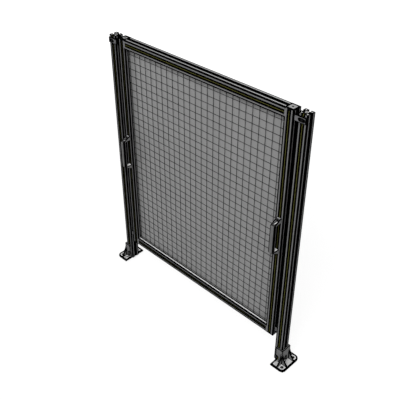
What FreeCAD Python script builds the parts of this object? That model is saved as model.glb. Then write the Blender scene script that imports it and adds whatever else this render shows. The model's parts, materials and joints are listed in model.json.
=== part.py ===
import FreeCAD, Part
import math
import os

# Machine guard fence panel: two slotted aluminium posts on cast feet carry a framed mesh
# panel that lifts out on four pins, with a bow handle on each upright of its frame.
# Origin: midway between the left foot's two bolt holes, on the underside of its plate.
# +X runs along the fence, +Y to the back, +Z up. Millimetres.
# The pieces are drawn about the left post's axis and moved to the origin when exported.

# Slotted profile
profile_side = 40.0
profile_corner_chamfer = 1.0
slot_opening = 10.0
lip_thickness = 5.0
undercut_width = 20.0
core_side = 15.0
web_thickness = 3.5
core_bore_radius = 3.4

# Fence and framed panel
fence_height = 1200.0
ground_clearance = 130.0
panel_width = 906.0
side_gap = 17.5
cap_thickness = 3.0
cap_hole_radius = 3.0
cap_tongue_length = 8.0
slide_clearance = 0.2

# Wire mesh and sheet
wire = 2.0
mesh_pitch = 32.0
mesh_first_wire = 5.0
edge_engagement = 8.0
gasket_base = 1.6
gasket_front_leg = 1.0
sheet_thickness = 3.0

# Slot strips and nuts
strip_width = 18.6
strip_thickness = 2.0
strip_rib = 3.0
nut_length = 20.0
nut_height = 5.0

# Cast feet
foot_plate_thickness = 8.0
foot_height = 86.0
foot_wall = 6.5
foot_inset = 10.5
foot_outer_overhang = 39.0
foot_depth = 117.0
foot_outer_radius = 20.0
foot_rib_drop = 18.0
foot_rib_setback = 3.0
foot_rib_knee_out = 11.0
foot_rib_knee_height = 34.0
foot_arch_height = 34.0
foot_hole_radius = 5.5
foot_hole_setback = 20.0
foot_notch_reach = 3.5

# Bow handles
handle_length = 168.0
handle_grip_length = 130.0
handle_width = 23.0
handle_projection = 40.0
handle_grip_thickness = 13.0
handle_foot_height = 6.0
handle_foot_length = 19.0
handle_corner_radius = 8.0
handle_window_radius = 4.0
handle_rim_chamfer = 2.0
handle_screw_inset = 9.5
handle_screw_seat = 6.0

# Brackets and pins
bracket_height = 23.0
bracket_top_drop = 8.5
bracket_front_thickness = 6.5
bracket_outer_reach = 17.0
bracket_inner_reach = 10.5
bracket_leg_back = 12.0
bracket_recess_length = 28.5
lower_block_height = 26.0
lower_block_top = 186.0
lower_block_reach = 15.0
lower_block_depth = 28.0
pin_slot_clearance = 0.3
pin_drop = 6.0

# Screws
screw_radius = 3.0
screw_head_across = 10.0
screw_head_height = 4.0
counterbore_clearance = 0.5
foot_screw_length = 24.0

half = profile_side / 2
post_pitch = panel_width + 2 * side_gap + profile_side
stile_axis = half + side_gap + half
stile_outer = half + side_gap
opening_left = stile_outer + profile_side
opening_right = post_pitch - opening_left
rail_length = opening_right - opening_left
opening_bottom = ground_clearance + profile_side
opening_top = fence_height - profile_side
panel_middle = (ground_clearance + fence_height) / 2
slot_lip_back = half - lip_thickness
pin_radius = slot_opening / 2 - slide_clearance
foot_bolt_line = half + foot_outer_overhang - foot_hole_setback
screw_head_corner = screw_head_across / math.sqrt(3)
screw_recess_radius = screw_head_corner + counterbore_clearance

X = FreeCAD.Vector(1, 0, 0)
Y = FreeCAD.Vector(0, 1, 0)
Z = FreeCAD.Vector(0, 0, 1)

nodes = {}


def box(x0, x1, y0, y1, z0, z1):
    return Part.makeBox(x1 - x0, y1 - y0, z1 - z0, FreeCAD.Vector(x0, y0, z0))


def rod(radius, start, direction, length):
    return Part.makeCylinder(radius, length, start, direction)


def prism(points, sweep):
    """Closed outline of points, swept along a vector."""
    outline = [FreeCAD.Vector(*point) for point in points]
    return Part.Face(Part.makePolygon(outline + outline[:1])).extrude(sweep)


def mirror_fence(shape):
    """The same piece for the other end of the fence."""
    return shape.mirror(FreeCAD.Vector(post_pitch / 2, 0, 0), X)


def mirror_front(shape):
    return shape.mirror(FreeCAD.Vector(0, 0, 0), Y)


def add_both_ends(name, shape):
    nodes["left_" + name] = shape
    nodes["right_" + name] = mirror_fence(shape)


# ---- slotted profile ----

def profile_section():
    """Square section with one T slot in each side and a bore through its core."""
    opening = slot_opening / 2
    undercut = undercut_width / 2
    core = core_side / 2
    web = web_thickness / math.sqrt(2)
    straight = half - profile_corner_chamfer
    side = [(half, -straight), (half, -opening), (slot_lip_back, -opening),
            (slot_lip_back, -undercut), (undercut + web, -undercut), (core, web - core),
            (core, core - web), (undercut + web, undercut), (slot_lip_back, undercut),
            (slot_lip_back, opening), (half, opening), (half, straight)]
    outline = []
    for quarter in range(4):
        turn = FreeCAD.Rotation(Z, 90 * quarter)
        outline += [turn.multVec(FreeCAD.Vector(x, y, 0)) for x, y in side]
    bore = Part.Wire(Part.makeCircle(core_bore_radius))
    return Part.Face([Part.makePolygon(outline + outline[:1]), bore], "Part::FaceMakerBullseye")


def upright(x, bottom, top):
    profile = profile_section().extrude(Z * (top - bottom))
    profile.translate(FreeCAD.Vector(x, 0, bottom))
    return profile


def crossbar(z):
    profile = profile_section().extrude(Z * rail_length)
    profile.rotate(FreeCAD.Vector(0, 0, 0), Y, 90)
    profile.translate(FreeCAD.Vector(opening_left, 0, z))
    return profile


def slot_strip(x, bottom, top):
    """Strip behind the lips of a front slot, on a rib that bears on the slot's floor."""
    front = -slot_lip_back + slide_clearance
    back = front + strip_thickness
    floor = -core_side / 2 - slide_clearance
    band = box(x - strip_width / 2, x + strip_width / 2, front, back, bottom, top)
    rib = box(x - strip_rib / 2, x + strip_rib / 2, back, floor, bottom, top)
    return band.fuse(rib)


def strip_pieces(x, bottom, top, nut_heights):
    """The strip is cut to length between the nuts that share its slot."""
    reach = nut_length / 2 + slide_clearance
    ends = [bottom]
    for height in sorted(nut_heights):
        ends += [height - reach, height + reach]
    ends.append(top)
    pieces = [slot_strip(x, low, high) for low, high in zip(ends[::2], ends[1::2])]
    return Part.makeCompound(pieces)


# ---- posts, frame and caps ----

def bracket_height_middle():
    return fence_height - bracket_top_drop - bracket_height / 2


def handle_screw_heights():
    offset = handle_length / 2 - handle_screw_inset
    return [panel_middle - offset, panel_middle + offset]


def make_posts():
    add_both_ends("post", upright(0, foot_plate_thickness, fence_height))
    strip = strip_pieces(0, foot_plate_thickness, fence_height, [bracket_height_middle()])
    add_both_ends("post_strip", strip)


def make_frame():
    bottom = ground_clearance + cap_thickness
    top = fence_height - cap_thickness
    add_both_ends("stile", upright(stile_axis, bottom, top))
    add_both_ends("stile_strip", strip_pieces(stile_axis, bottom, top, handle_screw_heights()))
    top_axis = fence_height - half
    bottom_axis = ground_clearance + half
    nodes["top_rail"] = crossbar(top_axis)
    nodes["bottom_rail"] = crossbar(bottom_axis)
    for name, axis in (("top_rail_strip", top_axis), ("bottom_rail_strip", bottom_axis)):
        strip = slot_strip(0, 0, rail_length)
        strip.rotate(FreeCAD.Vector(0, 0, 0), Y, 90)
        strip.translate(FreeCAD.Vector(opening_left, 0, axis))
        nodes[name] = strip


def end_cap():
    """Cap with its plate above z = 0 and a tongue into each side slot."""
    plate = box(-half, half, -half, half, 0, cap_thickness)
    uprights = [edge for edge in plate.Edges if abs(edge.tangentAt(edge.FirstParameter).z) > 0.5]
    cap = plate.makeChamfer(profile_corner_chamfer, uprights)
    tongue_half = slot_opening / 2 - slide_clearance
    for side in (-1, 1):
        near = side * (slot_lip_back + slide_clearance)
        far = side * (half - slide_clearance)
        low, high = sorted((near, far))
        cap = cap.fuse(box(low, high, -tongue_half, tongue_half, -cap_tongue_length, 0))
    hole = rod(cap_hole_radius, FreeCAD.Vector(0, 0, 0), Z, cap_thickness)
    return cap.cut(hole)


def make_caps():
    top_cap = end_cap()
    top_cap.translate(FreeCAD.Vector(stile_axis, 0, fence_height - cap_thickness))
    add_both_ends("stile_top_cap", top_cap)
    bottom_cap = end_cap()
    bottom_cap.rotate(FreeCAD.Vector(0, 0, 0), X, 180)
    bottom_cap.translate(FreeCAD.Vector(stile_axis, 0, ground_clearance + cap_thickness))
    add_both_ends("stile_bottom_cap", bottom_cap)


# ---- infill ----

gasket_outer_half = slot_opening / 2
upright_front = -gasket_outer_half + gasket_front_leg
crosswire_front = upright_front + wire
sheet_front = crosswire_front + wire
sheet_back = sheet_front + sheet_thickness


def evenly(first, last):
    """Places one mesh pitch apart from the first, up to the last."""
    count = int((last - first) // mesh_pitch) + 1
    return [first + mesh_pitch * index for index in range(count)]


def make_mesh():
    """Square wires in two layers that touch where they are welded. A border wire deep in
    the gasket closes the ends of each layer."""
    left = opening_left - edge_engagement
    right = opening_right + edge_engagement
    low = opening_bottom - edge_engagement
    high = opening_top + edge_engagement
    columns = evenly(opening_left + mesh_first_wire, opening_right)
    rows = evenly(opening_bottom + mesh_first_wire, opening_top)
    uprights = [wire_box(x - wire / 2, x + wire / 2, upright_front, low, high) for x in columns]
    uprights.append(wire_box(left, right, upright_front, low, low + wire))
    uprights.append(wire_box(left, right, upright_front, high - wire, high))
    crosswires = [wire_box(left, right, crosswire_front, z - wire / 2, z + wire / 2)
                  for z in rows]
    crosswires.append(wire_box(left, left + wire, crosswire_front, low, high))
    crosswires.append(wire_box(right - wire, right, crosswire_front, low, high))
    nodes["mesh_uprights"] = uprights[0].multiFuse(uprights[1:]).removeSplitter()
    nodes["mesh_crosswires"] = crosswires[0].multiFuse(crosswires[1:]).removeSplitter()


def wire_box(x0, x1, front, z0, z1):
    return box(x0, x1, front, front + wire, z0, z1)


def make_sheet():
    nodes["infill_sheet"] = box(opening_left - edge_engagement, opening_right + edge_engagement,
                                sheet_front, sheet_back,
                                opening_bottom - edge_engagement, opening_top + edge_engagement)


def gasket_section(base_side):
    """Channel section that fills the slot's opening round the mesh and the sheet."""
    floor = edge_engagement + gasket_base
    outer = [(0, -gasket_outer_half), (floor, -gasket_outer_half),
             (floor, gasket_outer_half), (0, gasket_outer_half),
             (0, sheet_back), (edge_engagement, sheet_back),
             (edge_engagement, upright_front), (0, upright_front)]
    return [(base_side * depth, y) for depth, y in outer]


def make_gaskets():
    reach = edge_engagement
    section = [(opening_left + x, y, opening_bottom - reach) for x, y in gasket_section(-1)]
    height = opening_top - opening_bottom + 2 * reach
    add_both_ends("gasket", prism(section, Z * height))
    for name, edge, side in (("bottom_gasket", opening_bottom, -1), ("top_gasket", opening_top, 1)):
        section = [(opening_left, y, edge + z) for z, y in gasket_section(side)]
        nodes[name] = prism(section, X * rail_length)


# ---- cast feet ----

def foot_plate(inner, outer):
    depth = foot_depth / 2
    plate = box(outer, inner, -depth, depth, 0, foot_plate_thickness)
    rounded = []
    for edge in plate.Edges:
        start, end = edge.Vertexes[0].Point, edge.Vertexes[1].Point
        if abs(start.z - end.z) > 1 and start.x < 0:
            rounded.append(edge)
    return plate.makeFillet(foot_outer_radius, rounded)


def foot_rib(length):
    """Rib from the wall's outer corner down to the plate's edge, along +X."""
    base = foot_plate_thickness
    points = [(0, 0, base), (length - foot_rib_setback, 0, base),
              (foot_rib_knee_out, 0, foot_rib_knee_height),
              (0, 0, foot_height - foot_rib_drop)]
    return prism(points, Y * foot_wall)


def make_feet():
    inner = half - foot_inset
    outer = -half - foot_outer_overhang
    wall_outer = half + foot_wall
    foot = foot_plate(inner, outer)
    foot = foot.fuse(box(-wall_outer, -half, -wall_outer, wall_outer, 0, foot_height))
    side_wall = box(-wall_outer, inner, -wall_outer, -half, 0, foot_height)
    side_rib = foot_rib(-outer - wall_outer)
    side_rib.rotate(FreeCAD.Vector(0, 0, 0), Z, 180)
    side_rib.translate(FreeCAD.Vector(-wall_outer, -half, 0))
    front_rib = foot_rib(foot_depth / 2 - wall_outer)
    front_rib.rotate(FreeCAD.Vector(0, 0, 0), Z, -90)
    front_rib.translate(FreeCAD.Vector(-wall_outer, -wall_outer, 0))
    for piece in (side_wall, side_rib, front_rib):
        foot = foot.fuse([piece, mirror_front(piece)])
    add_both_ends("foot", foot.cut(foot_openings()).removeSplitter())


def foot_arch():
    """Arched window on the post's outer slot, with a round drain notch in the plate."""
    arch = slot_opening / 2
    crown = foot_plate_thickness + foot_arch_height - arch
    start = -half - foot_wall
    window = box(start, -half, -arch, arch, foot_plate_thickness, crown)
    crown_start = FreeCAD.Vector(start, 0, crown)
    notch_middle = FreeCAD.Vector(start + arch - foot_notch_reach, 0, 0)
    notch = rod(arch, notch_middle, Z, foot_plate_thickness)
    notch = notch.cut(box(start, 0, -arch, arch, 0, foot_plate_thickness))
    return window.fuse([rod(arch, crown_start, X, foot_wall), notch])


def foot_openings():
    """The arches on three sides, the bolt holes and the counterbored hole for the screw."""
    side_arch = foot_arch()
    front_arch = side_arch.copy()
    front_arch.rotate(FreeCAD.Vector(0, 0, 0), Z, 90)
    cuts = [front_arch, mirror_front(front_arch)]
    reach = foot_depth / 2 - foot_hole_setback
    for y in (-reach, reach):
        bolt = FreeCAD.Vector(-foot_bolt_line, y, 0)
        cuts.append(rod(foot_hole_radius, bolt, Z, foot_plate_thickness))
    middle = FreeCAD.Vector(0, 0, 0)
    cuts.append(rod(screw_radius + slide_clearance, middle, Z, foot_plate_thickness))
    cuts.append(rod(screw_recess_radius, middle, Z, screw_head_height))
    return side_arch.fuse(cuts)


# ---- screws and pins ----

def screw(seat, direction, length):
    """Hexagon head on the seat, and a shank going on in the direction."""
    first = X if direction.x == 0 else Y
    second = direction.cross(first)
    corners = []
    for sixth in range(6):
        angle = sixth * math.pi / 3
        corners.append(seat + (first * math.cos(angle) + second * math.sin(angle))
                       * screw_head_corner)
    head = prism(corners, -direction * screw_head_height)
    return head.fuse(rod(screw_radius, seat, direction, length))


def slot_nut(face, direction):
    """Nut behind the lips of an upright slot. The face is the middle of the slot's opening,
    and the direction goes into the slot."""
    across = Z.cross(direction)
    wide = strip_width / 2
    narrow = wide - nut_height / 2
    section = [(0, -wide), (nut_height / 2, -wide), (nut_height, -narrow),
               (nut_height, narrow), (nut_height / 2, wide), (0, wide)]
    corner = face + direction * lip_thickness - Z * (nut_length / 2)
    outline = [corner + direction * depth + across * width for depth, width in section]
    return prism(outline, Z * nut_length)


def slot_screw(seat, direction, grip):
    """Screw through the piece it grips to the nut in the slot behind."""
    nut = slot_nut(seat + direction * grip, direction)
    return screw(seat, direction, grip + lip_thickness).fuse(nut)


def pin(height, tip):
    """Pin through the stile's outer slot, on a foot behind the lips."""
    lip_back = FreeCAD.Vector(stile_outer + lip_thickness, 0, height)
    shaft = rod(pin_radius, lip_back, -X, lip_back.x - tip)
    return shaft.fuse(slot_nut(FreeCAD.Vector(stile_outer, 0, height), X))


def upper_pin_height():
    return fence_height - bracket_top_drop - pin_drop - pin_radius


def lower_pin_height():
    return lower_block_top - pin_drop


def make_pins():
    tip = half + slide_clearance
    pins = [pin(upper_pin_height(), tip), pin(lower_pin_height(), tip)]
    add_both_ends("pins", Part.makeCompound(pins))


def pin_slot(height, top, x0, x1):
    """Open-topped slot that the pin drops into."""
    radius = pin_radius + pin_slot_clearance
    bottom = FreeCAD.Vector(x0, 0, height)
    return rod(radius, bottom, X, x1 - x0).fuse(box(x0, x1, -radius, radius, height, top))


# ---- brackets ----

bracket_grip = bracket_front_thickness - screw_head_height


def bracket_screw_seat():
    return FreeCAD.Vector(0, -half - bracket_grip, bracket_height_middle())


def make_upper_brackets():
    """Angle on the post: a recessed front leg across its face, and a side leg in the gap
    with the pin's seat."""
    top = fence_height - bracket_top_drop
    bottom = top - bracket_height
    inner = half + bracket_inner_reach
    front = -half - bracket_front_thickness
    leg = box(-bracket_outer_reach, inner, front, -half, bottom, top)
    side = box(half, inner, -half, bracket_leg_back, bottom, top)
    bracket = leg.fuse(side).cut(pin_slot(upper_pin_height(), top, half, inner))
    seat = bracket_screw_seat()
    radius = screw_recess_radius
    straight = bracket_recess_length / 2 - radius
    recess = box(-straight, straight, front, seat.y, seat.z - radius, seat.z + radius)
    for end in (-straight, straight):
        recess = recess.fuse(rod(radius, seat + X * end, -Y, screw_head_height))
    hole = rod(screw_radius + slide_clearance, seat, Y, bracket_grip)
    add_both_ends("upper_bracket", bracket.cut(recess.fuse(hole)).removeSplitter())


def make_post_screws():
    """The screw up through the foot into the post's core, and the upper bracket's screw."""
    foot_seat = FreeCAD.Vector(0, 0, screw_head_height)
    screws = [screw(foot_seat, Z, foot_screw_length),
              slot_screw(bracket_screw_seat(), Y, bracket_grip)]
    add_both_ends("post_screws", Part.makeCompound(screws))


def make_lower_brackets():
    """Block in the gap that slides on a key in the post's inner slot, with a pin's seat."""
    outer = half + lower_block_reach
    depth = lower_block_depth / 2
    bottom = lower_block_top - lower_block_height
    block = box(half, outer, -depth, depth, bottom, lower_block_top)
    middle = bottom + nut_length / 2
    key_half = slot_opening / 2 - slide_clearance
    key = box(slot_lip_back, half, -key_half, key_half, bottom, bottom + nut_length)
    block = block.fuse([key, slot_nut(FreeCAD.Vector(half, 0, middle), -X)])
    block = block.cut(pin_slot(lower_pin_height(), lower_block_top, half, outer))
    add_both_ends("lower_bracket", block.removeSplitter())


# ---- handles ----

handle_window_half = handle_length / 2 - handle_foot_length
handle_window_depth = handle_projection - handle_grip_thickness


def handle_body():
    """Bow with sloping legs, drawn from the side and swept across its width."""
    foot = handle_length / 2
    grip = handle_grip_length / 2
    outer = [(foot, 0), (foot, handle_foot_height), (grip, handle_projection),
             (-grip, handle_projection), (-foot, handle_foot_height), (-foot, 0)]
    inner = [(-handle_window_half, 0), (-handle_window_half, handle_window_depth),
             (handle_window_half, handle_window_depth), (handle_window_half, 0)]
    left = stile_axis - handle_width / 2
    outline = [(left, -half - out, panel_middle + along) for along, out in outer + inner]
    body = prism(outline, X * handle_width)
    inner_bends = [edge for edge in body.Edges if is_cross_edge(edge) and is_inner_bend(edge)]
    body = body.makeFillet(handle_window_radius, inner_bends)
    outer_bends = [edge for edge in body.Edges if is_cross_edge(edge) and is_outer_bend(edge)]
    body = body.makeFillet(handle_corner_radius, outer_bends)
    rims = [edge for edge in body.Edges if is_rim(edge)]
    return body.makeChamfer(handle_rim_chamfer, rims)


def is_cross_edge(edge):
    return abs(edge.tangentAt(edge.FirstParameter).x) > 0.5


def on_bow(edge):
    """How far an edge's middle lies from the bow's middle and out from the stile's face."""
    middle = edge.CenterOfMass
    return abs(middle.z - panel_middle), -half - middle.y


def is_inner_bend(edge):
    along, out = on_bow(edge)
    return abs(out - handle_window_depth) < 0.1 and abs(along - handle_window_half) < 0.1


def is_outer_bend(edge):
    """Bends of the outer outline, at the grip's ends and above the feet."""
    along, out = on_bow(edge)
    return out > handle_projection - 0.1 or abs(out - handle_foot_height) < 0.1


def is_rim(edge):
    """Long edges of the outer outline, from one foot's end round to the other."""
    along, out = on_bow(edge)
    outside = along > handle_window_half + 1 or out > handle_window_depth + 1
    return outside and out > 0.1 and not is_cross_edge(edge)


def make_handles():
    body = handle_body()
    screws = []
    for height in handle_screw_heights():
        seat = FreeCAD.Vector(stile_axis, -half - handle_screw_seat, height)
        recess = rod(screw_recess_radius, seat, -Y, handle_projection)
        hole = rod(screw_radius + slide_clearance, seat, Y, handle_screw_seat)
        body = body.cut(recess.fuse(hole))
        screws.append(slot_screw(seat, Y, handle_screw_seat))
    add_both_ends("handle", body)
    add_both_ends("handle_screws", Part.makeCompound(screws))


def export_nodes():
    os.makedirs("parts", exist_ok=True)
    for name, shape in nodes.items():
        shape.translate(X * foot_bolt_line)
        shape.exportStep("parts/" + name + ".step")
        print(name, len(shape.Solids), "solid(s)", "valid" if shape.isValid() else "NOT VALID")


make_posts()
make_frame()
make_caps()
make_mesh()
make_sheet()
make_gaskets()
make_feet()
make_pins()
make_upper_brackets()
make_lower_brackets()
make_post_screws()
make_handles()
export_nodes()
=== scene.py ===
import bpy
import bmesh
import json
import math
from mathutils import Matrix, Vector


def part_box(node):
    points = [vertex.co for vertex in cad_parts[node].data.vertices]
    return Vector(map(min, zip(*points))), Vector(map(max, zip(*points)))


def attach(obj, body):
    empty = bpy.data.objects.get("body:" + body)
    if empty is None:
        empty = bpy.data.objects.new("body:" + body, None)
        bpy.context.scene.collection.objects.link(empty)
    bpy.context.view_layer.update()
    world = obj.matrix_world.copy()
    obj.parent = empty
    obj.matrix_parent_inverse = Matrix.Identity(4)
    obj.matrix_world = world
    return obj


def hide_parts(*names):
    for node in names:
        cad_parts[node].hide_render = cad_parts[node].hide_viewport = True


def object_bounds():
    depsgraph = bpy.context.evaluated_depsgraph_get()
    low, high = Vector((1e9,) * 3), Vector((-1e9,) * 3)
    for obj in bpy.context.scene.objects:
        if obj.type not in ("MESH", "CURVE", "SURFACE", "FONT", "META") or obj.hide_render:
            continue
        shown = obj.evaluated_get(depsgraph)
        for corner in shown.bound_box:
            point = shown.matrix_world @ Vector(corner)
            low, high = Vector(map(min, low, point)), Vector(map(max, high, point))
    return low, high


# A guard panel between two slotted posts: finishes for its solids, round wires in its mesh,
# beads on its cover strips and soft edges on its castings and handles. Lengths are in metres.

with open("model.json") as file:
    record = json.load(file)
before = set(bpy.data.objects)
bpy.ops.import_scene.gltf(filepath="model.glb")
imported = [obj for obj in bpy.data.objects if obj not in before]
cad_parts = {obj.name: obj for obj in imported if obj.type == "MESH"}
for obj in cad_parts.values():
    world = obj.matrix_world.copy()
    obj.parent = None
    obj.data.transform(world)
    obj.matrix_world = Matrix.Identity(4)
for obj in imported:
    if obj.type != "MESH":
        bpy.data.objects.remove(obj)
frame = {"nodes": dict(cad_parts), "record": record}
cadLow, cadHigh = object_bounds()  # the solids' box, in metres
print("frame loaded:", len(frame["nodes"]), "nodes")

mm = 0.001


def linear(code):  # sRGB hex such as "#6f6f70" to the scene's linear colour
    values = [int(code[i:i + 2], 16) / 255 for i in (1, 3, 5)]
    return [v / 12.92 if v <= 0.04045 else ((v + 0.055) / 1.055) ** 2.4 for v in values] + [1.0]


def setInputs(tree, node, inputs):
    # a socket is linked, a node is linked by its first output, and anything else is a value
    for key, value in inputs.items():
        if isinstance(value, bpy.types.Node):
            value = value.outputs[0]
        if isinstance(value, bpy.types.NodeSocket):
            tree.links.new(value, node.inputs[key])
        else:
            node.inputs[key].default_value = value


def addNode(tree, kind, inputs=None, **settings):
    node = tree.nodes.new("ShaderNode" + kind)
    for name, value in settings.items():
        setattr(node, name, value)
    setInputs(tree, node, inputs or {})
    return node


def newMaterial(name):
    material = bpy.data.materials.new(name)
    material.use_nodes = True
    tree = material.node_tree
    return material, tree, tree.nodes["Principled BSDF"]


soft = {"interpolation_type": "SMOOTHSTEP"}  # for a range that eases in and out
colours = {"data_type": "RGBA"}  # for a mix of two colours, which come in at 6 and 7 and out at 2

surface = {  # what a finish has unless its own look says otherwise
    "mottle": 17 * mm,  # patches of slightly uneven tone
    "grit": 0.67 * mm,  # a skin's grain, drawn coarser than the real 0.15 mm so that it shows
    "bump": 0.15,
    "bumpDepth": 0.3 * mm,
    "spread": 0.05,  # of the roughness, up and down
}

usualPatches = (0.35, 0.65)  # a pattern's values lie mostly between these
usualGrain = (0.3, 0.7)  # and those of a fine one between these

edges = {  # painted dark lines along a piece's arrises, outlines that stand in for shade
    "colour": "#030303",
    "samples": 16,
    "start": 0.985,  # cosine of the turn where the line begins
    "full": 0.975,  # and where it is at its darkest
}

tops = (0.9, 0.97)  # how far a face looks up where it starts to count as a top, and where it does


def placeOf(tree):  # a point's X, Y and Z, in metres
    place = addNode(tree, "TexCoord").outputs["Object"]
    return addNode(tree, "SeparateXYZ", {0: place}).outputs


def facingOf(tree):  # how far a face looks along X, Y and Z, from -1 to 1
    normal = addNode(tree, "NewGeometry").outputs["Normal"]
    return addNode(tree, "SeparateXYZ", {0: normal}).outputs


def pattern(tree, size, stretch=(1, 1, 1), detail=3.0, roughness=0.5):
    # soft patches of about that size, drawn out along an axis where the stretch is small
    place = addNode(tree, "TexCoord").outputs["Object"]
    mapped = addNode(tree, "Mapping", {"Vector": place, "Scale": stretch})
    return addNode(tree, "TexNoise", {"Vector": mapped, "Scale": 1 / size, "Detail": detail,
                                      "Roughness": roughness})


def softEdge(tree, value, limit, blur):
    # 0 below the limit and 1 above it, or the other way round where the blur is negative
    return addNode(tree, "MapRange", {0: value, 1: limit - blur, 2: limit + blur}, **soft)


def anyMask(tree, *masks):  # 1 where any of them is 1
    mask = masks[0]
    for other in masks[1:]:
        mask = addNode(tree, "Math", {0: mask, 1: other}, operation="MAXIMUM")
    return mask


def paintedEdgeShade(tree, width):
    # painted shade: 1 beside an edge and 0 on the flats, from how far rounding would turn the
    # surface there
    rounded = addNode(tree, "Bevel", {"Radius": width}, samples=edges["samples"])
    flat = addNode(tree, "NewGeometry").outputs["Normal"]
    turn = addNode(tree, "VectorMath", {0: rounded, 1: flat}, operation="DOT_PRODUCT")
    return addNode(tree, "MapRange", {0: turn.outputs["Value"], 1: edges["start"],
                                      2: edges["full"]}, **soft)


def paintedTopLight(tree):  # 1 on what faces up, where a paler top is painted as if lit from above
    return addNode(tree, "MapRange", {0: facingOf(tree)["Z"], 1: tops[0], 2: tops[1]}, **soft)


def slopeBand(tree, rise):  # 1 on faces that slope up between two rises, with soft ends
    up = facingOf(tree)["Z"]
    steep = addNode(tree, "MapRange", {0: up, 1: rise[0], 2: rise[1]}, **soft)
    level = addNode(tree, "MapRange", {0: up, 1: rise[2], 2: rise[3]}, **soft)
    return addNode(tree, "Math", {0: steep, 1: level}, operation="SUBTRACT")


def besideMiddle(tree, node, axis, reach, blur=0.2 * mm):
    # 0 within reach of the node's middle along an axis, 1 past it
    low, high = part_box(node)
    fromMiddle = addNode(tree, "Math", {0: placeOf(tree)[axis], 1: (low[axis] + high[axis]) / 2},
                         operation="SUBTRACT")
    distance = addNode(tree, "Math", {0: fromMiddle}, operation="ABSOLUTE")
    return softEdge(tree, distance, reach, blur)


def mottled(tree, size, dark, pale, limits=usualPatches, detail=3.0):
    # a colour that wanders between two tones in patches of about that size
    share = addNode(tree, "MapRange", {0: pattern(tree, size, detail=detail), 1: limits[0],
                                       2: limits[1]}, **soft)
    return addNode(tree, "Mix", {0: share, 6: linear(dark), 7: linear(pale)},
                   **colours).outputs[2]


def dressShader(tree, shader, colour, line, fine, look):
    # lays the painted dark lines, outlines and shade, over the colour, and gives the surface its
    # fine bump and uneven gloss
    inked = addNode(tree, "Mix", {0: line, 6: colour, 7: linear(edges["colour"])},
                    **colours).outputs[2]
    bump = addNode(tree, "Bump", {"Height": fine, "Strength": look["bump"],
                                  "Distance": look["bumpDepth"]})
    gloss = addNode(tree, "MapRange", {0: fine, 1: usualGrain[0], 2: usualGrain[1],
                                       3: look["roughness"] - look["spread"],
                                       4: look["roughness"] + look["spread"]}, **soft)
    setInputs(tree, shader, {"Base Color": inked, "Normal": bump, "Roughness": gloss,
                             "Specular IOR Level": 0.0})
    if "metallic" in look:  # bare metal has a satin sheen, and the painted dark lines on it have none
        setInputs(tree, shader, {"Metallic": addNode(tree, "MapRange",
                                                     {0: line, 3: look["metallic"], 4: 0.0})})


profileLook = {
    "colour": "#757576",
    "darkColour": "#6c6c6d",
    "grain": 1.1 * mm,  # die lines, drawn coarser than the real 0.2 mm so that they show
    "drawn": 0.01,  # and they run a hundred times further than they are wide
    "cloud": 70 * mm,  # slow change of the anodised tone
    "grainShare": 0.6,
    "metallic": 0.15,  # bare aluminium is 1, and the anodised skin hides most of its mirror
    "roughness": 0.43,
    "spread": 0.06,
    "bump": 0.06,
    "bumpDepth": 0.2 * mm,
    "half": 20 * mm,  # from the middle of the section to its faces
    "mouth": 5 * mm,  # half the width of the slot between the lips
    "mouthLine": 4.2 * mm,  # painted dark band of shade on a lip beside the slot
    "cornerLine": 5.8 * mm,  # and a painted dark outline beside the corner
    # how much wider both are on the front and back and on the other two faces, so that the
    # slender members further back read as dark as the near ones
    "extraLine": {"left": (0.8 * mm, 0.6 * mm), "right": (0.0, 0.7 * mm),
                  "top": (0.0, 0.2 * mm), "bottom": (0.8 * mm, -0.1 * mm)},
    # top faces painted paler as if lit from above, brightest on the bottom rail's lip
    "upColour": {"top": "#949494", "bottom": "#d6d6d6", "left": "#b0b0b0", "right": "#b0b0b0"},
    "face": 0.3 * mm,  # how deep below the outer faces their colour ends; the slots past it are painted dark as shade
    "faceBlur": 0.1 * mm,
    "endCore": 5.0 * mm,  # half of the core that a cut end shows bright, where no dark line is painted
    "endCorner": (9.5 * mm, 14.5 * mm),  # and where its bright corners start and stop
    "endFacing": (0.5, 0.8),  # how far a face looks along the member where it is a cut end
    "blur": 0.3 * mm,
}


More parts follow.
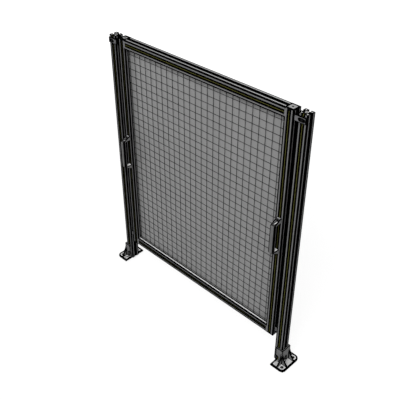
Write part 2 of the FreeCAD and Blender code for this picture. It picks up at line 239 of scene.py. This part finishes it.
def lipFace(tree, node, along):
    # 1 on the flats of the four faces and on the metal of a cut end, 0 at arrises, in slots and on
    # the rest of an end, where dark outlines and slot shade are painted
    half, blur = profileLook["half"], profileLook["blur"]
    place = placeOf(tree)
    low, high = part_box(node)
    fromMiddle = {}
    for key, axis in enumerate((2 if along == 0 else 0, 1)):
        shifted = addNode(tree, "Math", {0: place[axis], 1: (low[axis] + high[axis]) / 2},
                          operation="SUBTRACT")
        fromMiddle[key] = addNode(tree, "Math", {0: shifted}, operation="ABSOLUTE")
    far = addNode(tree, "Math", fromMiddle, operation="MAXIMUM")
    near = addNode(tree, "Math", fromMiddle, operation="MINIMUM")
    sideways = addNode(tree, "Math", fromMiddle, operation="GREATER_THAN")

    front, side = profileLook["extraLine"][node.split("_")[0]]
    extra = addNode(tree, "MapRange", {0: sideways, 3: front, 4: side})
    inner = addNode(tree, "Math", {0: near, 1: extra}, operation="SUBTRACT")
    outer = addNode(tree, "Math", {0: near, 1: extra}, operation="ADD")
    pastMouth = softEdge(tree, inner, profileLook["mouth"] + profileLook["mouthLine"], blur)
    beforeCorner = softEdge(tree, outer, half - profileLook["cornerLine"], -blur)
    if "stile" in node:  # no line where a rail is flush with it
        for rail in ("top_rail", "bottom_rail"):
            railLow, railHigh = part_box(rail)
            beyond = anyMask(
                tree, besideMiddle(tree, rail, 0, (railHigh.x - railLow.x) / 2 + half),
                besideMiddle(tree, rail, 2, half - profileLook["cornerLine"]), sideways)
            flush = addNode(tree, "Math", {0: 1.0, 1: beyond}, operation="SUBTRACT")
            beforeCorner = anyMask(tree, beforeCorner, flush)
    lips = addNode(tree, "Math", {0: pastMouth, 1: beforeCorner}, operation="MULTIPLY")
    onFace = softEdge(tree, far, half - profileLook["face"], profileLook["faceBlur"])
    flat = addNode(tree, "Math", {0: lips, 1: onFace}, operation="MULTIPLY")

    facing = addNode(tree, "Math", {0: facingOf(tree)[along]}, operation="ABSOLUTE")
    end = addNode(tree, "MapRange", {0: facing, 1: profileLook["endFacing"][0],
                                     2: profileLook["endFacing"][1]}, **soft)
    first, last = profileLook["endCorner"]
    core = softEdge(tree, far, profileLook["endCore"], -blur)
    corner = addNode(tree, "Math", {0: softEdge(tree, near, first, blur),
                                    1: softEdge(tree, far, last, -blur)}, operation="MULTIPLY")
    cut = anyMask(tree, core, corner)
    return addNode(tree, "Mix", {0: end, 2: flat, 3: cut})


def anodisedAluminium(node, along):
    # extruded and satin anodised: a soft even grey with a faint grain along its length, with
    # painted dark outlines and slot shade
    material, tree, shader = newMaterial("anodisedAluminium_" + node)
    stretch = [1.0, 1.0, 1.0]
    stretch[along] = profileLook["drawn"]
    grain = pattern(tree, profileLook["grain"], stretch, detail=4.0, roughness=0.6)
    cloud = pattern(tree, profileLook["cloud"], detail=2.0)
    tone = addNode(tree, "Mix", {0: profileLook["grainShare"], 2: cloud, 3: grain})
    share = addNode(tree, "MapRange", {0: tone, 1: usualPatches[0], 2: usualPatches[1]}, **soft)
    colour = addNode(tree, "Mix", {0: share, 6: linear(profileLook["darkColour"]),
                                   7: linear(profileLook["colour"])}, **colours).outputs[2]
    # top faces painted paler, as if lit from above
    up = linear(profileLook["upColour"][node.split("_")[0]])
    colour = addNode(tree, "Mix", {0: paintedTopLight(tree), 6: colour, 7: up}, **colours).outputs[2]
    line = addNode(tree, "Math", {0: 1.0, 1: lipFace(tree, node, along)}, operation="SUBTRACT")
    dressShader(tree, shader, colour, line, grain, profileLook)
    return material


def plainLook(name, look, darkMask=None, head=None):
    # a mottled finish with a fine bump, its top faces painted paler as if lit, and painted dark
    # lines along its edges and in the mask
    look = {**surface, **look}
    material, tree, shader = newMaterial(name)
    colour = mottled(tree, look["mottle"], look["dark"], look["colour"])
    # top faces painted paler as if lit from above, dimmer at a handle's ends
    if "up" in look:
        up = linear(look["up"])
        if head:
            low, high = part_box(head)
            atEnd = besideMiddle(tree, head, 2, (high.z - low.z) / 2 - look["head"])
            up = addNode(tree, "Mix", {0: atEnd, 6: up, 7: linear(look["headUp"])},
                         **colours).outputs[2]
        colour = addNode(tree, "Mix", {0: paintedTopLight(tree), 6: colour, 7: up}, **colours).outputs[2]
    line = 0.0
    if "line" in look:
        line = paintedEdgeShade(tree, look["line"])
        if darkMask:
            line = anyMask(tree, line, darkMask(tree))
        if "slope" in look:
            slope = addNode(tree, "Math", {0: slopeBand(tree, look["slope"]),
                                           1: look["slopeShare"]}, operation="MULTIPLY")
            line = anyMask(tree, line, slope)
    dressShader(tree, shader, colour, line, pattern(tree, look["grit"], detail=2.0), look)
    return material


footLook = {
    # the milled plate's top, painted bright as if lit from above
    "plateColour": "#cccccc",
    "plateDark": "#c4c4c4",
    "castColour": "#727272",
    "castDark": "#6a6a6a",
    "grit": 1.1 * mm,  # the blasted skin, drawn coarser than the real 0.2 mm so that it shows
    "bump": 0.3,
    "metallic": 0.15,
    "roughness": 0.5,
    "plateTop": 9.0 * mm,  # the milled plate ends and the blasted casting starts
    "plateFade": 0.5 * mm,
    "outerRadius": 20 * mm,  # corners of the plate, with the bolt holes at their middles
    "holeLine": 7.4 * mm,  # radius of the painted dark ring round a bolt hole
    "plateLine": {"left": 8.5 * mm, "right": 8.0 * mm},  # painted dark outline round the plate
    "castLine": {"left": 12.5 * mm, "right": 10.0 * mm},  # and of the walls and ribs
    "ribEdge": (0.12, 0.25, 0.85, 0.95),  # the rise of the ribs' sloping edges, painted dark as shade as well
    "blur": 0.3 * mm,
}


def plateBorder(tree, node):
    # painted dark outline: 1 along the plate's outline, which is round at its outer corners, and
    # round the bolt holes
    place = placeOf(tree)
    low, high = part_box(node)
    radius, blur = footLook["outerRadius"], footLook["blur"]
    line = footLook["plateLine"][node.split("_")[0]]
    outwards = 1 if low.x > cadLow.x + (cadHigh.x - cadLow.x) / 2 else -1
    centre = high.x - radius if outwards > 0 else low.x + radius
    fromCentre = addNode(tree, "Math", {0: place["X"], 1: centre}, operation="SUBTRACT")
    acrossX = addNode(tree, "Math", {0: fromCentre, 1: outwards}, operation="MULTIPLY")
    shifted = addNode(tree, "Math", {0: place["Y"], 1: (low.y + high.y) / 2},
                      operation="SUBTRACT")
    fromMiddle = addNode(tree, "Math", {0: shifted}, operation="ABSOLUTE")
    acrossY = addNode(tree, "Math", {0: fromMiddle, 1: (high.y - low.y) / 2 - radius},
                      operation="SUBTRACT")
    pastX = addNode(tree, "Math", {0: acrossX, 1: 0.0}, operation="MAXIMUM")
    pastY = addNode(tree, "Math", {0: acrossY, 1: 0.0}, operation="MAXIMUM")
    corner = addNode(tree, "CombineXYZ", {0: pastX, 1: pastY})
    reach = addNode(tree, "VectorMath", {0: corner}, operation="LENGTH").outputs["Value"]
    outline = softEdge(tree, reach, radius - line, blur)
    fromHole = addNode(tree, "CombineXYZ", {0: acrossX, 1: acrossY})
    hole = addNode(tree, "VectorMath", {0: fromHole}, operation="LENGTH").outputs["Value"]
    ring = softEdge(tree, hole, footLook["holeLine"], -blur)
    inner = besideMiddle(tree, node, 0, (high.x - low.x) / 2 - line)
    return anyMask(tree, outline, ring, inner)


def castFoot(node):
    # die-cast aluminium: blasted to a matt mid grey, and milled on its plate, whose top is painted
    # bright as if lit and whose sides and outline are painted dark
    look = {**surface, **footLook}
    material, tree, shader = newMaterial("blastedCastAluminium_" + node)
    bright = mottled(tree, look["mottle"], look["plateDark"], look["plateColour"])
    blasted = mottled(tree, look["mottle"], look["castDark"], look["castColour"])
    plate = softEdge(tree, placeOf(tree)["Z"], look["plateTop"], -look["plateFade"])
    # the plate's faces that do not look up are painted dark as shade
    upright = addNode(tree, "Math", {0: 1.0, 1: paintedTopLight(tree)}, operation="SUBTRACT")
    border = anyMask(tree, upright, plateBorder(tree, node))
    castLine = look["castLine"][node.split("_")[0]]
    edge = anyMask(tree, paintedEdgeShade(tree, castLine), slopeBand(tree, look["ribEdge"]))
    line = addNode(tree, "Mix", {0: plate, 2: edge, 3: border})
    colour = addNode(tree, "Mix", {0: plate, 6: blasted, 7: bright}, **colours).outputs[2]
    dressShader(tree, shader, colour, line, pattern(tree, look["grit"], detail=2.0), look)
    return material


sheetLook = {
    "colour": "#818181",
    "dark": "#7d7d7d",
    "margin": "#969696",  # painted paler band, as lit, between the wires' border and the stiles
    "marginWidth": 11 * mm,  # that much of it lies inside the ends of the crosswires
    "cloud": 170 * mm,  # slow change of tone over the sheet
    "roughness": 0.45,
    "ior": 1.58,
}


def sheetPlastic():  # solid polycarbonate, tinted through: an even grey with a satin skin, and a paler band painted beside the stiles
    material, tree, shader = newMaterial("greyPolycarbonate")
    colour = mottled(tree, sheetLook["cloud"], sheetLook["dark"], sheetLook["colour"],
                     limits=usualGrain, detail=2.0)
    low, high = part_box("mesh_crosswires")
    margin = besideMiddle(tree, "mesh_crosswires", 0,
                          (high.x - low.x) / 2 - sheetLook["marginWidth"])
    colour = addNode(tree, "Mix", {0: margin, 6: colour, 7: linear(sheetLook["margin"])},
                     **colours).outputs[2]
    setInputs(tree, shader, {"Base Color": colour, "Roughness": sheetLook["roughness"],
                             "IOR": sheetLook["ior"]})
    return material


print("materials: making")
plainLooks = {
    # moulded polyamide bead, drab green and matt
    "olive": {"colour": "#6c6c34", "dark": "#62622e", "roughness": 0.6, "line": 0.5 * mm},
    # the same plastic in black, put in the slot as painted shade that shows as a dark slot
    "blackStrip": {"colour": "#141413", "dark": "#0e0e0d", "roughness": 0.6},
    # moulded nylon, its top painted pale as if lit, inside a painted dark rim
    "cap": {"colour": "#5c5c5c", "dark": "#545454", "up": "#8e8e8e", "roughness": 0.5,
            "line": 4 * mm, "rim": {"left": 12.0 * mm, "right": 7.5 * mm}},
    # zinc-plated and blackened steel, nearly black with a slight gleam
    "screw": {"colour": "#161617", "dark": "#101011", "metallic": 0.15, "roughness": 0.4,
              "line": 1.5 * mm},
    # extruded seal, dull black
    "rubber": {"colour": "#141414", "dark": "#0e0e0e", "roughness": 0.7},
    # milled and anodised like the profiles, its top painted paler as if lit and a dark rim painted
    # round it
    "bracket": {"colour": "#6b6b6d", "dark": "#626264", "up": "#8c8c8e", "metallic": 0.15,
                "roughness": 0.4, "line": 2 * mm, "rim": {"left": 3.0 * mm, "right": 2.2 * mm},
                "recess": (30.5 * mm, 7.6 * mm),  # its length and end radius, painted dark inside as shade
                "recessBlur": 0.2 * mm},
    # glass-filled nylon, matt, with a textured skin of 0.25 mm that is drawn twice as coarse; its
    # top faces painted pale as if lit
    "handle": {"colour": "#6e6e6e", "dark": "#656565", "up": "#e0e0e0", "roughness": 0.55,
               "line": 4 * mm, "rim": {"left": 5.2 * mm, "right": 4.6 * mm},
               "bump": 0.3, "grit": 0.55 * mm,
               "slope": (0.5, 0.65, 0.9, 0.97), "slopeShare": 0.8,  # its sloping legs are painted dark as shade
               "grip": 10 * mm, "gripFade": 1 * mm,  # how deep the grip's painted dark flanks go
               "legSide": 0.9, "legFade": 0.05,  # how far sideways a leg's sides look, which are kept free of the painted dark rim
               "head": 8 * mm, "headUp": "#9a9a9a"},  # its two ends are painted less bright on top, as less lit
    # drawn steel under a thin coat of paint, satin and nearly black
    "uprightWire": {"colour": "#181818", "dark": "#121212", "roughness": 0.5},
    # the same paint, coloured paler as a painted lit copy where the light falls on it
    "crossWire": {"colour": "#404040", "dark": "#383838", "roughness": 0.5},
}


def rimMask(tree, node, kind, axes):  # 1 in the painted dark band inside a piece's outline
    low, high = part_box(node)
    rim = plainLooks[kind]["rim"][node.split("_")[0]]
    return anyMask(tree, *[besideMiddle(tree, node, axis, (high[axis] - low[axis]) / 2 - rim)
                           for axis in axes])


def mouldedHandle(node):  # painted dark round its face and down its grip as outline and shade, left pale on the sides of its legs
    look = plainLooks["handle"]

    def dark(tree):
        across = addNode(tree, "Math", {0: facingOf(tree)["X"]}, operation="ABSOLUTE")
        legSide = softEdge(tree, across, look["legSide"], look["legFade"])
        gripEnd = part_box(node)[0].y + look["grip"]
        pastGrip = softEdge(tree, placeOf(tree)["Y"], gripEnd, look["gripFade"])
        leg = addNode(tree, "Math", {0: pastGrip, 1: legSide}, operation="MULTIPLY")
        notLeg = addNode(tree, "Math", {0: 1.0, 1: leg}, operation="SUBTRACT")
        return addNode(tree, "Math", {0: rimMask(tree, node, "handle", (0,)), 1: notLeg},
                       operation="MULTIPLY")

    return plainLook("greyNylonHandle_" + node, look, dark, head=node)


def milledBracket(node):  # painted dark round its outline, and painted black as shade in the oblong recess for its screw
    post = node.split("_")[0] + "_post"
    look = plainLooks["bracket"]

    def dark(tree):
        rim = rimMask(tree, node, "bracket", (0, 2))
        if "upper" not in node:
            return rim
        length, radius = look["recess"]
        place = placeOf(tree)
        middleX, middleZ = [sum(corner[axis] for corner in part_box(name)) / 2
                            for name, axis in ((post, 0), (node, 2))]
        fromPost = addNode(tree, "Math", {0: place["X"], 1: middleX}, operation="SUBTRACT")
        aside = addNode(tree, "Math", {0: fromPost}, operation="ABSOLUTE")
        pastStraight = addNode(tree, "Math", {0: aside, 1: length / 2 - radius},
                               operation="SUBTRACT")
        pastEnd = addNode(tree, "Math", {0: pastStraight, 1: 0.0}, operation="MAXIMUM")
        above = addNode(tree, "Math", {0: place["Z"], 1: middleZ}, operation="SUBTRACT")
        corner = addNode(tree, "CombineXYZ", {0: pastEnd, 1: above})
        reach = addNode(tree, "VectorMath", {0: corner}, operation="LENGTH").outputs["Value"]
        return anyMask(tree, rim, softEdge(tree, reach, radius, -look["recessBlur"]))

    return plainLook("milledAluminium_" + node, look, dark)


uprightWire = plainLook("blackPaintedWire", plainLooks["uprightWire"])
crossWire = plainLook("greyPaintedWire", plainLooks["crossWire"])
finishes = {
    "zinc_steel": plainLook("blackenedSteelScrew", plainLooks["screw"]),
    "gasket_rubber": plainLook("blackSealRubber", plainLooks["rubber"]),
    "slot_strip": plainLook("blackPlasticStrip", plainLooks["blackStrip"]),
    "smoked_sheet": sheetPlastic(),
}


def finishOf(node, slotName):
    if slotName == "anodised_aluminium":
        return anodisedAluminium(node, 0 if "_rail" in node else 2)
    if slotName == "end_cap":
        return plainLook("greyNylonCap_" + node, plainLooks["cap"],
                         lambda tree: rimMask(tree, node, "cap", (0, 1)))
    if slotName == "bracket_aluminium":
        return milledBracket(node)
    if slotName == "cast_aluminium":
        return castFoot(node)
    if slotName == "handle_nylon":
        return mouldedHandle(node)
    if slotName == "wire_steel":
        return uprightWire if node == "mesh_uprights" else crossWire
    return finishes[slotName]


for part in frame["record"]["subparts"]:
    solid = frame["nodes"][part["node"]]
    solid.data.materials.clear()
    solid.data.materials.append(finishOf(part["node"], part["material_slot"]))
print("materials: on the solids")


def finishPiece(mesh, name, material, replaced, evenShading=False):
    data = bpy.data.meshes.new(name)
    mesh.to_mesh(data)
    mesh.free()
    piece = bpy.data.objects.new(name, data)
    bpy.context.scene.collection.objects.link(piece)
    data.materials.append(material)
    for face in data.polygons:
        face.use_smooth = True
    if evenShading:  # flats stay flat and only the small radii between them are rounded
        piece.modifiers.new("evenShading", "WEIGHTED_NORMAL")
    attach(piece, "root")
    if replaced:
        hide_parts(*replaced)
    return piece


beads = {
    "halfWidth": 2.6 * mm,
    "sink": 0.4 * mm,  # its crown lies this far inside the mouth of the slot
    "round": 0.8 * mm,
    "roundSegments": 3,
    "seen": 0.66 * mm,  # half of the olive, between painted dark flanks of slot shade
    "farSeen": 0.17 * mm,  # and on the members further back
}


def makeBead(node):
    # olive bead along the middle of the black strip that stands in for slot shade, pressed between
    # the lips of its slot, with dark flanks painted on it
    along = 0 if "_rail" in node else 2
    across = 2 - along
    low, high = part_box(node)
    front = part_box(node.replace("_strip", ""))[0].y + beads["sink"]
    middle = (low[across] + high[across]) / 2
    stops = [low[along], high[along]]
    if "stile" in node:  # it stops at the tongues of the caps
        side = node.split("_")[0]
        stops = [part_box(side + "_stile_bottom_cap")[1].z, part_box(side + "_stile_top_cap")[0].z]
    # a strip is in one or more lengths, and its vertices lie only at their ends
    ends = sorted({round(vertex.co[along], 5) for vertex in frame["nodes"][node].data.vertices})
    mesh = bmesh.new()
    for start, end in zip(ends[::2], ends[1::2]):
        start, end = max(start, stops[0]), min(end, stops[1])
        size, centre = Vector((0, low.y - front, 0)), Vector((0, (low.y + front) / 2, 0))
        size[across], size[along] = 2 * beads["halfWidth"], end - start
        centre[across], centre[along] = middle, (start + end) / 2
        bmesh.ops.create_cube(mesh, size=1.0,
                              matrix=Matrix.Translation(centre) @ Matrix.Diagonal((*size, 1.0)))
    crown = [edge for edge in mesh.edges
             if all(vertex.co.y < front + 0.01 * mm for vertex in edge.verts)]
    bmesh.ops.bevel(mesh, geom=crown, offset=beads["round"], offset_type="OFFSET",
                    segments=beads["roundSegments"], affect="EDGES", profile=0.5, material=-1,
                    clamp_overlap=True)
    seen = beads["farSeen" if node.startswith(("left", "bottom")) else "seen"]
    material = plainLook("olivePlasticBead_" + node, plainLooks["olive"],
                         lambda tree: besideMiddle(tree, node, across, seen))
    finishPiece(mesh, node + "_bead", material, (), True)


for part in frame["record"]["subparts"]:
    if part["material_slot"] == "slot_strip":
        makeBead(part["node"])
print("cover strips: beads")


wires = {
    "radius": 1.0 * mm,
    "sides": 10,
    "pitch": 32 * mm,
    "border": 13 * mm,  # from the end of a crossing wire to the first wire's middle
    "lastGap": 8 * mm,  # the least that is left past the last wire
    "weldRadius": 1.5 * mm,
    "weldDepth": 0.7,  # of a weld's width
    "weldSides": 6,
    "weldRings": 4,
}


def addRod(mesh, start, end):
    turn = (end - start).to_track_quat("Z", "Y").to_matrix().to_4x4()
    middle = Matrix.Translation((start + end) / 2)
    bmesh.ops.create_cone(mesh, cap_ends=True, segments=wires["sides"], radius1=wires["radius"],
                          radius2=wires["radius"], depth=(end - start).length,
                          matrix=middle @ turn)


def makeWires():
    low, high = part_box("mesh_uprights")
    crossLow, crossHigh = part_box("mesh_crosswires")
    uprightY = (low.y + high.y) / 2
    crossY = (crossLow.y + crossHigh.y) / 2
    columns = 1 + int((high.x - low.x - wires["border"] - wires["lastGap"]) / wires["pitch"])
    rows = 1 + int((high.z - low.z - wires["border"] - wires["lastGap"]) / wires["pitch"])
    xs = [low.x + wires["border"] + wires["pitch"] * i for i in range(columns)]
    zs = [low.z + wires["border"] + wires["pitch"] * i for i in range(rows)]
    uprights = bmesh.new()
    for x in xs:
        addRod(uprights, Vector((x, uprightY, low.z)), Vector((x, uprightY, high.z)))
    finishPiece(uprights, "roundUprightWires", uprightWire, ("mesh_uprights",))

    # one crosswire with its welds is made at the bottom and then repeated upwards
    row = bmesh.new()
    addRod(row, Vector((low.x, crossY, zs[0])), Vector((high.x, crossY, zs[0])))
    flatten = Matrix.Diagonal((1.0, wires["weldDepth"], 1.0, 1.0))
    for x in xs:
        place = Matrix.Translation((x, (uprightY + crossY) / 2, zs[0]))
        bmesh.ops.create_uvsphere(row, u_segments=wires["weldSides"],
                                  v_segments=wires["weldRings"], radius=wires["weldRadius"],
                                  matrix=place @ flatten)
    rowMesh = bpy.data.meshes.new("wireRow")
    row.to_mesh(rowMesh)
    row.free()
    crosswires = bmesh.new()
    for z in zs:
        crosswires.from_mesh(rowMesh)
        crosswires.verts.ensure_lookup_table()
        added = crosswires.verts[-len(rowMesh.vertices):]
        bmesh.ops.translate(crosswires, verts=added, vec=(0, 0, z - zs[0]))
    bpy.data.meshes.remove(rowMesh)
    finishPiece(crosswires, "roundCrossWires", crossWire, ("mesh_crosswires",))
    print("wires:", columns, "uprights and", rows, "crosswires")


makeWires()


softened = {
    "radius": 0.6 * mm,
    "segments": 2,
    "merge": 0.01 * mm,
    "flat": 1,  # degrees, and faces that are turned less than that are joined first
    "sharp": 35,  # degrees, and an edge that is turned more than that gets the radius
    "slots": {"foot": "cast_aluminium", "handle": "handle_nylon"},
}


def softenEdges(node):
    # the same form as the node, with the small radii that a mould leaves on its edges
    mesh = bmesh.new()
    mesh.from_mesh(frame["nodes"][node].data)
    bmesh.ops.remove_doubles(mesh, verts=mesh.verts, dist=softened["merge"])
    bmesh.ops.dissolve_limit(mesh, angle_limit=math.radians(softened["flat"]),
                             verts=mesh.verts, edges=mesh.edges)
    sharp = [edge for edge in mesh.edges if len(edge.link_faces) == 2
             and edge.calc_face_angle() > math.radians(softened["sharp"])]
    bmesh.ops.bevel(mesh, geom=sharp, offset=softened["radius"], offset_type="OFFSET",
                    segments=softened["segments"], affect="EDGES", profile=0.5, material=-1,
                    clamp_overlap=True)
    material = frame["nodes"][node].data.materials[0]
    finishPiece(mesh, "moulded_" + node, material, (node,), True)


for side in ("left_", "right_"):
    for kind, slotName in softened["slots"].items():
        softenEdges(side + kind)
print("cast and moulded pieces: softened")


studio = {
    "sky": 0.2,  # the world's strength on the object
    "skySeen": 1.0,  # and where it is seen as the background
    "floorHalf": 30.0,  # metres
    "floorGap": 0.2 * mm,  # below the feet
    "floorGlow": 0.78,  # of the white that the camera and reflections see, the part without shadow
    "shadowReach": 1.5,  # metres from the origin, up to where the floor keeps its shadow
    "whiteFrom": 3.5,  # and from where it is all white
    "footInset": 4 * mm,  # from a plate's edge to the painted shadow on the floor under it
    "floorSeen": "#808080",
    "floorBounce": "#707070",
}
# turn and height are in degrees, and share is of the light that shows a colour as it is written
lamps = {
    "mainLamp": {"turn": 20, "height": 47, "distance": 8.0, "size": 5.0, "share": 0.92},
    "sideLamp": {"turn": 75, "height": 22, "distance": 8.0, "size": 4.0, "share": 0.42},
    "fillLamp": {"turn": -78, "height": 25, "distance": 8.0, "size": 5.0, "share": 0.42},
    "backLamp": {"turn": 200, "height": 25, "distance": 8.0, "size": 5.0, "share": 0.62},
}


def seenRays(tree):  # 1 for the rays that show a background, 0 for those that light the object
    rays = addNode(tree, "LightPath").outputs
    direct = addNode(tree, "Math", {0: rays["Is Camera Ray"], 1: rays["Is Glossy Ray"]},
                     operation="ADD")
    return addNode(tree, "Math", {0: direct, 1: rays["Is Transmission Ray"]}, operation="ADD",
                   use_clamp=True)


def makeFloor():
    mesh = bmesh.new()
    bmesh.ops.create_grid(mesh, x_segments=1, y_segments=1, size=studio["floorHalf"])
    bmesh.ops.translate(mesh, verts=mesh.verts, vec=(0, 0, cadLow.z - studio["floorGap"]))
    data = bpy.data.meshes.new("floor")
    mesh.to_mesh(data)
    mesh.free()
    floor = bpy.data.objects.new("floor", data)
    bpy.context.scene.collection.objects.link(floor)
    material = bpy.data.materials.new("paleFloor")  # a matt studio floor that looks white
    material.use_nodes = True
    tree = material.node_tree
    tree.nodes.clear()
    bounce = addNode(tree, "BsdfDiffuse", {"Color": linear(studio["floorBounce"])})
    lit = addNode(tree, "BsdfDiffuse", {"Color": linear(studio["floorSeen"])})
    place = addNode(tree, "TexCoord").outputs["Object"]
    distance = addNode(tree, "VectorMath", {0: place}, operation="LENGTH").outputs["Value"]
    white = addNode(tree, "MapRange", {0: distance, 1: studio["shadowReach"],
                                       2: studio["whiteFrom"], 3: studio["floorGlow"]}, **soft)
    for foot in ("left_foot", "right_foot"):  # painted shadow: the floor's glow is taken out under a foot's plate, where no light reaches
        low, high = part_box(foot)
        beside = anyMask(tree, *[
            besideMiddle(tree, foot, axis, (high[axis] - low[axis]) / 2 - studio["footInset"])
            for axis in (0, 1)])
        white = addNode(tree, "Math", {0: white, 1: beside}, operation="MULTIPLY")
    glow = addNode(tree, "Emission", {"Color": linear("#ffffff"), "Strength": white})
    pale = addNode(tree, "AddShader", {0: lit, 1: glow})
    seen = addNode(tree, "MixShader", {0: seenRays(tree), 1: bounce, 2: pale})
    addNode(tree, "OutputMaterial", {"Surface": seen})
    data.materials.append(material)


def makeLamp(name, look):
    lamp = bpy.data.lights.new(name, "AREA")
    lamp.shape = "SQUARE"
    lamp.size = look["size"]
    lamp.energy = look["share"] * math.pi**2 * look["distance"] ** 2  # as bright from any distance
    turn, height = math.radians(look["turn"]), math.radians(look["height"])
    away = Vector((math.sin(turn) * math.cos(height), -math.cos(turn) * math.cos(height),
                   math.sin(height)))
    thing = bpy.data.objects.new(name, lamp)
    thing.location = (cadLow + cadHigh) / 2 + away * look["distance"]
    thing.rotation_euler = away.to_track_quat("Z", "Y").to_euler()
    bpy.context.scene.collection.objects.link(thing)


def makeWorld():
    world = bpy.data.worlds.new("studioSky")
    bpy.context.scene.world = world
    world.use_nodes = True
    tree = world.node_tree
    tree.nodes.clear()
    strength = addNode(tree, "MapRange", {0: seenRays(tree), 3: studio["sky"],
                                          4: studio["skySeen"]})
    sky = addNode(tree, "Background", {"Color": linear("#ffffff"), "Strength": strength})
    addNode(tree, "OutputWorld", {"Surface": sky})


camera = {
    "place": (2.085, -1.571, 2.178),  # metres
    "turn": 44.74,  # degrees from straight in front, towards the right
    "height": 35.49,  # degrees above level
    "lens": 57.55,  # millimetres
    "sensor": 36.0,
    "clipEnd": 100.0,
}


def makeCamera():
    data = bpy.data.cameras.new("camera")
    data.lens = camera["lens"]
    data.sensor_width = camera["sensor"]
    data.clip_end = camera["clipEnd"]
    thing = bpy.data.objects.new("camera", data)
    thing.location = camera["place"]
    thing.rotation_euler = (math.radians(90 - camera["height"]), 0, math.radians(camera["turn"]))
    bpy.context.scene.collection.objects.link(thing)
    bpy.context.scene.camera = thing


makeFloor()
for name, look in lamps.items():
    makeLamp(name, look)
makeWorld()
makeCamera()
bpy.context.scene.view_settings.view_transform = "Standard"
print("studio: floor, lamps and camera")
